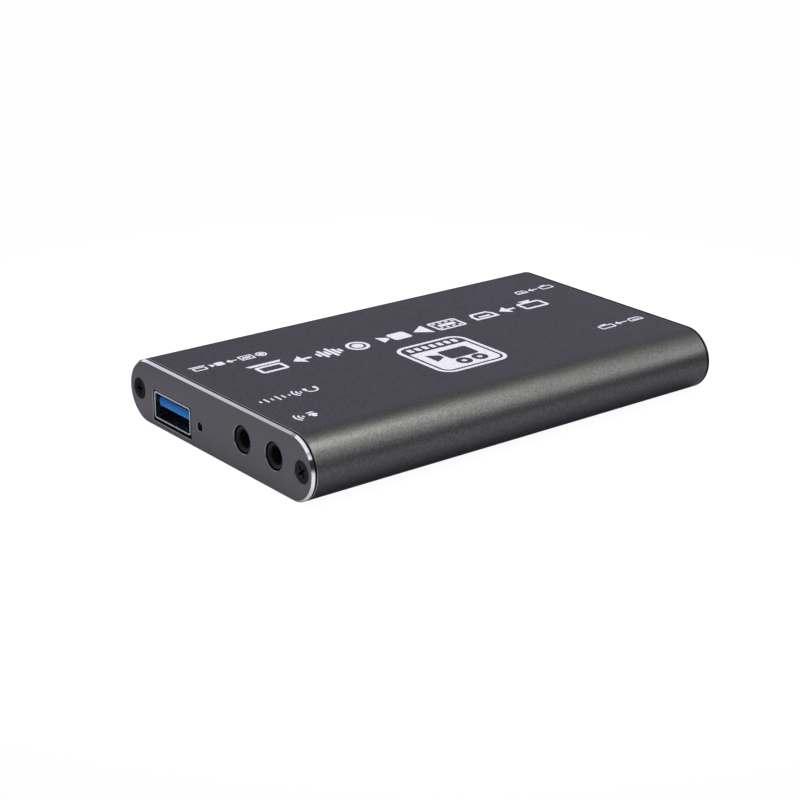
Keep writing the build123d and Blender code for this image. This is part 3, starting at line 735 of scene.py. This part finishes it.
def layPrint(printName, ink, centre, finish, lift=0.0):
    # turns a finished drawing into a thin film of ink on the top face
    bmesh.ops.recalc_face_normals(ink, faces=ink.faces)
    for face in ink.faces:
        if face.normal.z < 0:
            face.normal_flip()
    turn = Matrix.Rotation(math.radians(-90), 4, "Z")
    spot = Matrix.Translation((centre[0] * mm, centre[1] * mm, topLevel + lift * mm))
    bmesh.ops.transform(ink, matrix=spot @ turn @ Matrix.Scale(mm, 4), verts=ink.verts)
    mesh = bpy.data.meshes.new(printName)
    ink.to_mesh(mesh)
    ink.free()
    mesh.materials.append(finish)
    film = bpy.data.objects.new(printName, mesh)
    bpy.context.scene.collection.objects.link(film)
    solid = film.modifiers.new("inkThickness", "SOLIDIFY")
    solid.thickness = whiteInk["thickness"] * mm
    solid.offset = 1
    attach(film, "root")


# the way of the picture, in three groups: display to socket, film, and record to computer
titlePrint = {
    "centre": (-6.9, 0.0),
    "height": 5.2,
    "line": 0.78,
    "gap": 1.5,
    "marks": (
        (drawDisplay, 6.8),
        (drawArrow, 4.4),
        (drawSocket, 6.4),
        (None, 0.2),
        (drawFilm, 7.6),
        (drawPlay, 3.9),
        (drawCamera, 7.4),
        (None, 0.2),
        (drawRecord, 5.2),
        (drawLevels, 6.2),
        (drawArrow, 4.4),
        (drawLaptop, 8.4),
    ),
}


def printTitle(finish):
    s = titlePrint
    ink = bmesh.new()
    drawRow(ink, s["marks"], s["height"], s["line"], s["gap"])
    layPrint("titlePrint", ink, s["centre"], finish)


# a hole's width is a share of the pitch and its height one of the band; the picture's places are
# from the tile's middle
badgePrint = {
    "centre": (8.5, -0.4),
    "width": 17.8,
    "height": 17.8,
    "corner": 3.2,
    "cornerSteps": 8,
    "ring": 0.85,
    "gap": 0.6,
    "band": 2.5,
    "perforations": 7,
    "holeWidth": 0.62,
    "holeHeight": 0.72,
    "holeCorner": 0.25,
    "cameraBody": (-1.6, -1.5),
    "bodySize": (7.4, 5.0, 0.7),
    "cameraLens": ((2.7, -2.2), (2.7, -0.8), (5.4, 0.7), (5.4, -3.7)),
    "reels": ((-3.5, 3.1), (0.6, 3.1)),
    "reelRadius": 1.175,
    "reelLine": 1.15,
}


def printBadge(finish, darkFinish):
    # a white tile in a ring, with a row of film holes along its foot
    s = badgePrint
    wide, high = s["width"], s["height"]
    inner = s["ring"] + s["gap"]
    ink = bmesh.new()
    frameRounded(ink, 0, 0, wide, high, s["corner"], s["ring"])
    tileLow = -high / 2 + inner + s["band"] + s["gap"]
    tileHigh = high / 2 - inner
    halfTile = wide / 2 - inner
    corner = s["corner"] - inner
    tile = arcPoints(halfTile - corner, tileHigh - corner, corner, 0, 90, s["cornerSteps"])
    tile += arcPoints(corner - halfTile, tileHigh - corner, corner, 90, 180, s["cornerSteps"])
    tile += [(-halfTile, tileLow), (halfTile, tileLow)]
    fillShape(ink, tile)
    bandMiddle = -high / 2 + inner + s["band"] / 2
    pitch = (wide - 2 * inner - s["corner"]) / (s["perforations"] - 1)
    holeWidth = pitch * s["holeWidth"]
    holeHeight = s["band"] * s["holeHeight"]
    for number in range(s["perforations"]):
        holeU = (number - (s["perforations"] - 1) / 2) * pitch
        fillRounded(ink, holeU, bandMiddle, holeWidth, holeHeight, s["holeCorner"])
    layPrint("badgePrint", ink, s["centre"], finish)

    # a cine camera in the case's colour, on the tile
    picture = bmesh.new()
    middle = (tileLow + tileHigh) / 2
    bodyU, bodyV = s["cameraBody"]
    fillRounded(picture, bodyU, middle + bodyV, *s["bodySize"])
    fillShape(picture, [(lensU, middle + lensV) for lensU, lensV in s["cameraLens"]])
    for reelU, reelV in s["reels"]:
        drawArc(picture, reelU, middle + reelV, s["reelRadius"], 0, 360, s["reelLine"])
    layPrint("badgePicture", picture, s["centre"], darkFinish, whiteInk["thickness"])


portPrints = {
    "height": 2.5,
    "line": 0.4,
    "gap": 0.6,
    "rows": {
        "videoInPrint": {
            "centre": (-14.5, 43.1),
            "marks": ((drawDisplay, 3.6), (drawArrow, 2.8), (drawSocket, 3.2)),
        },
        "videoOutPrint": {
            "centre": (14.4, 41.8),
            "marks": ((drawSocket, 3.8), (drawArrow, 3.4), (drawDisplay, 4.2)),
        },
        "dataPortPrint": {
            "centre": (-14.5, -39.3),
            "marks": (
                (drawRecord, 2.5),
                (drawFilm, 3.4),
                (drawArrow, 2.6),
                (drawCamera, 3.2),
                (drawLaptop, 4.0),
            ),
        },
        "earphonePrint": {
            "centre": (8.5, -40.9),
            "marks": ((drawHeadphones, 3.0), (drawWaves, 2.4), (drawLevels, 7.0)),
        },
        "microphonePrint": {
            "centre": (19.4, -44.9),
            "marks": ((drawMicrophone, 2.0), (drawWaves, 2.4)),
        },
    },
}


def printPorts(finish):
    # a row of marks beside each socket
    s = portPrints
    for rowName, row in s["rows"].items():
        ink = bmesh.new()
        drawRow(ink, row["marks"], s["height"], s["line"], s["gap"])
        layPrint(rowName, ink, row["centre"], finish)


inkFinish = makeGrained("whiteInk", whiteInk)
printTitle(inkFinish)
printBadge(inkFinish, finishOfSlot["anodised_sleeve"])
printPorts(inkFinish)
print("top print laid")


# Studio: a pale table, a white backdrop that only the camera sees, and soft light. Its sizes are in
# metres, but for drops and grains.

room = {"radius": 3.0, "segments": 96}
rayKinds = ("camera", "diffuse", "glossy", "transmission", "shadow")


def pointAt(azimuth, height):
    # a direction: degrees round +Z from +X, and degrees above the table
    flat = math.cos(math.radians(height))
    turn = math.radians(azimuth)
    return Vector((math.cos(turn) * flat, math.sin(turn) * flat, math.sin(math.radians(height))))


def startRound(filled):
    shape = bmesh.new()
    bmesh.ops.create_circle(shape, cap_ends=filled, segments=room["segments"], radius=room["radius"])
    return shape


def placeStage(stageName, shape, finish, level, seenBy):
    mesh = bpy.data.meshes.new(stageName)
    shape.to_mesh(mesh)
    shape.free()
    mesh.materials.append(finish)
    piece = bpy.data.objects.new(stageName, mesh)
    piece.location.z = level
    for kind in rayKinds:
        setattr(piece, "visible_" + kind, kind in seenBy)
    bpy.context.scene.collection.objects.link(piece)


# painted shade: the table's colour is white under the box and greyer further out, standing in for the
# light falling off
tablePaintedFalloff = {
    "look": {"Roughness": 0.9, "Specular IOR Level": 0.1},
    "drop": 0.02,
    "near": (0.80, 0.80, 0.80),
    "far": (0.14, 0.14, 0.15),
    "nearRadius": 0.075,
    "farRadius": 0.155,
}


def layTable():
    s = tablePaintedFalloff
    finish = startFinish("tablePaintedFalloff", s["look"])
    tree = finish.node_tree
    place = tree.nodes.new("ShaderNodeTexCoord")
    distance = tree.nodes.new("ShaderNodeVectorMath")
    distance.operation = "LENGTH"
    tree.links.new(place.outputs["Object"], distance.inputs[0])
    radius = distance.outputs["Value"]
    tintWith(finish, radius, s["near"], s["far"], s["nearRadius"], s["farRadius"])
    placeStage("table", startRound(filled=True), finish, -s["drop"] * mm, rayKinds)


# a film over the table that lifts it towards white for the camera, so that shadows stay faint
tableVeil = {
    "drop": 0.01,
    "dim": 0.935,
    "bright": 0.945,
    "through": 0.2,
    "cloud": 300.0,
}


def layVeil():
    s = tableVeil
    finish = bpy.data.materials.new("veil")
    finish.use_nodes = True
    tree = finish.node_tree
    tree.nodes.clear()
    cloud = addTexture(finish, "ShaderNodeTexNoise", s["cloud"])
    spread = tree.nodes.new("ShaderNodeMapRange")
    spread.inputs["To Min"].default_value = s["dim"]
    spread.inputs["To Max"].default_value = s["bright"]
    through = tree.nodes.new("ShaderNodeBsdfTransparent")
    through.inputs["Color"].default_value = (*[s["through"]] * 3, 1)
    glow = tree.nodes.new("ShaderNodeEmission")
    both = tree.nodes.new("ShaderNodeAddShader")
    surface = tree.nodes.new("ShaderNodeOutputMaterial")
    tree.links.new(cloud, spread.inputs["Value"])
    tree.links.new(spread.outputs["Result"], glow.inputs["Strength"])
    tree.links.new(through.outputs[0], both.inputs[0])
    tree.links.new(glow.outputs[0], both.inputs[1])
    tree.links.new(both.outputs[0], surface.inputs["Surface"])
    placeStage("veil", startRound(filled=True), finish, -s["drop"] * mm, ("camera",))


backdrop = {
    "look": {"Roughness": 1.0, "Emission Color": (1, 1, 1, 1), "Emission Strength": 1.0},
    "height": 3.0,
    "dark": (0.80, 0.80, 0.80),
    "light": (0.88, 0.88, 0.88),
    "cloud": 300.0,
}


def raiseBackdrop():
    s = backdrop
    finish = startFinish("paleWall", s["look"])
    cloud = addTexture(finish, "ShaderNodeTexNoise", s["cloud"])
    tintWith(finish, cloud, s["dark"], s["light"])
    wall = startRound(filled=False)
    raised = bmesh.ops.extrude_edge_only(wall, edges=wall.edges[:])
    lifted = [item for item in raised["geom"] if isinstance(item, bmesh.types.BMVert)]
    bmesh.ops.translate(wall, vec=(0, 0, s["height"]), verts=lifted)
    placeStage("wall", wall, finish, 0, ("camera",))


# a dark card behind the camera, seen only in reflections, for the break in the bevel's bright arc
cameraCard = {
    "look": {"Roughness": 0.9},
    "azimuth": -42.0,
    "height": 11.0,
    "distance": 1.0,
    "size": 0.44,
    "dark": (0.015, 0.014, 0.018),
    "light": (0.025, 0.024, 0.028),
    "grain": 4.0,
}


def hangCard():
    s = cameraCard
    finish = startFinish("darkCard", s["look"])
    grain = addTexture(finish, "ShaderNodeTexNoise", s["grain"])
    tintWith(finish, grain, s["dark"], s["light"])
    towards = pointAt(s["azimuth"], s["height"])
    card = bmesh.new()
    bmesh.ops.create_grid(card, x_segments=1, y_segments=1, size=s["size"] / 2)
    turn = towards.to_track_quat("Z", "Y").to_matrix().to_4x4()
    place = Matrix.Translation(towards * s["distance"])
    bmesh.ops.transform(card, matrix=place @ turn, verts=card.verts)
    placeStage("cameraCard", card, finish, 0, ("glossy",))


# colours by the height of a direction, as its sine: dark at the horizon, bright walls above it
# and a dimmer ceiling
roomSky = (
    (0.09, (0.11, 0.11, 0.12)),
    (0.27, (1.30, 1.27, 1.43)),
    (0.48, (1.30, 1.27, 1.43)),
    (0.68, (0.42, 0.41, 0.46)),
)


def lightRoom():
    world = bpy.data.worlds.new("room")
    world.use_nodes = True
    tree = world.node_tree
    place = tree.nodes.new("ShaderNodeTexCoord")
    axes = tree.nodes.new("ShaderNodeSeparateXYZ")
    ramp = tree.nodes.new("ShaderNodeValToRGB")
    stops = ramp.color_ramp.elements
    for number, (level, colour) in enumerate(roomSky):
        stop = stops[number] if number < 2 else stops.new(level)  # a ramp starts with two stops
        stop.position = level
        stop.color = (*colour, 1)
    tree.links.new(place.outputs["Generated"], axes.inputs[0])
    tree.links.new(axes.outputs["Z"], ramp.inputs["Fac"])
    tree.links.new(ramp.outputs["Color"], tree.nodes["Background"].inputs["Color"])
    bpy.context.scene.world = world


# the glow over the table; it isn't reflected, and the softboxes are nothing but reflections
overheadGlow = {"angle": 70.0, "strength": 3.0, "tilt": (0.0, -18.0)}

# two strips make the long highlight on the side, and a box the bright arc of the bevel; the lean
# turns a softbox about the line to the case
softboxes = {
    "highStrip": {
        "azimuth": 51.0,
        "height": 72.0,
        "distance": 1.37,
        "size": (0.16, 0.89),
        "lean": -3.0,
        "power": 23.5,
        "colour": (0.98, 1.0, 0.91),
    },
    "lowStrip": {
        "azimuth": 51.0,
        "height": 35.0,
        "distance": 1.37,
        "size": (0.16, 0.89),
        "lean": -3.0,
        "power": 5.6,
        "colour": (0.98, 1.0, 0.91),
    },
    "cornerSoftbox": {
        "azimuth": -98.0,
        "height": 54.0,
        "distance": 1.3,
        "size": (1.5, 0.34),
        "lean": -8.0,
        "power": 1.4,
        "colour": (1.0, 1.0, 1.0),
    },
}


def hangGlow():
    s = overheadGlow
    lamp = bpy.data.lights.new("overheadGlow", "SUN")
    lamp.angle = math.radians(s["angle"])
    lamp.energy = s["strength"]
    glow = bpy.data.objects.new("overheadGlow", lamp)
    glow.rotation_euler = [math.radians(turn) for turn in (*s["tilt"], 0)]
    glow.visible_glossy = False
    bpy.context.scene.collection.objects.link(glow)


def hangSoftbox(softboxName):
    s = softboxes[softboxName]
    towards = pointAt(s["azimuth"], s["height"])
    lamp = bpy.data.lights.new(softboxName, "AREA")
    lamp.shape = "RECTANGLE"
    lamp.size, lamp.size_y = s["size"]
    lamp.energy = s["power"]
    lamp.color = s["colour"]
    softbox = bpy.data.objects.new(softboxName, lamp)
    softbox.location = towards * s["distance"] + Vector((0, 0, midLevel))
    softbox.rotation_mode = "QUATERNION"
    lean = Matrix.Rotation(math.radians(s["lean"]), 4, "Z").to_quaternion()
    softbox.rotation_quaternion = towards.to_track_quat("Z", "Y") @ lean
    softbox.visible_diffuse = False
    bpy.context.scene.collection.objects.link(softbox)


layTable()
layVeil()
raiseBackdrop()
hangCard()
lightRoom()
hangGlow()
for softboxName in softboxes:
    hangSoftbox(softboxName)
print("studio lit")


# Camera, where the picture was taken from, in millimetres

shot = {
    "aim": (7.08, -12.63, 5.68),
    "azimuth": -38.93,
    "height": 20.354,
    "roll": 0.70,
    "distance": 380.0,
    "lens": 84.95,
    "sensor": 36.0,
    "nearest": 10.0,
    "furthest": 50000.0,
}


def placeCamera():
    s = shot
    back = pointAt(s["azimuth"], s["height"])
    lens = bpy.data.cameras.new("shotCamera")
    lens.lens = s["lens"]
    lens.sensor_width = s["sensor"]
    lens.clip_start = s["nearest"] * mm
    lens.clip_end = s["furthest"] * mm
    camera = bpy.data.objects.new("shotCamera", lens)
    camera.rotation_mode = "QUATERNION"
    level = (-back).to_track_quat("-Z", "Y")
    roll = Matrix.Rotation(math.radians(s["roll"]), 4, "Z").to_quaternion()
    camera.rotation_quaternion = level @ roll
    camera.location = Vector(s["aim"]) * mm + back * s["distance"] * mm
    bpy.context.scene.collection.objects.link(camera)
    bpy.context.scene.camera = camera


placeCamera()
bpy.context.scene.view_settings.view_transform = "Standard"
print("camera placed")
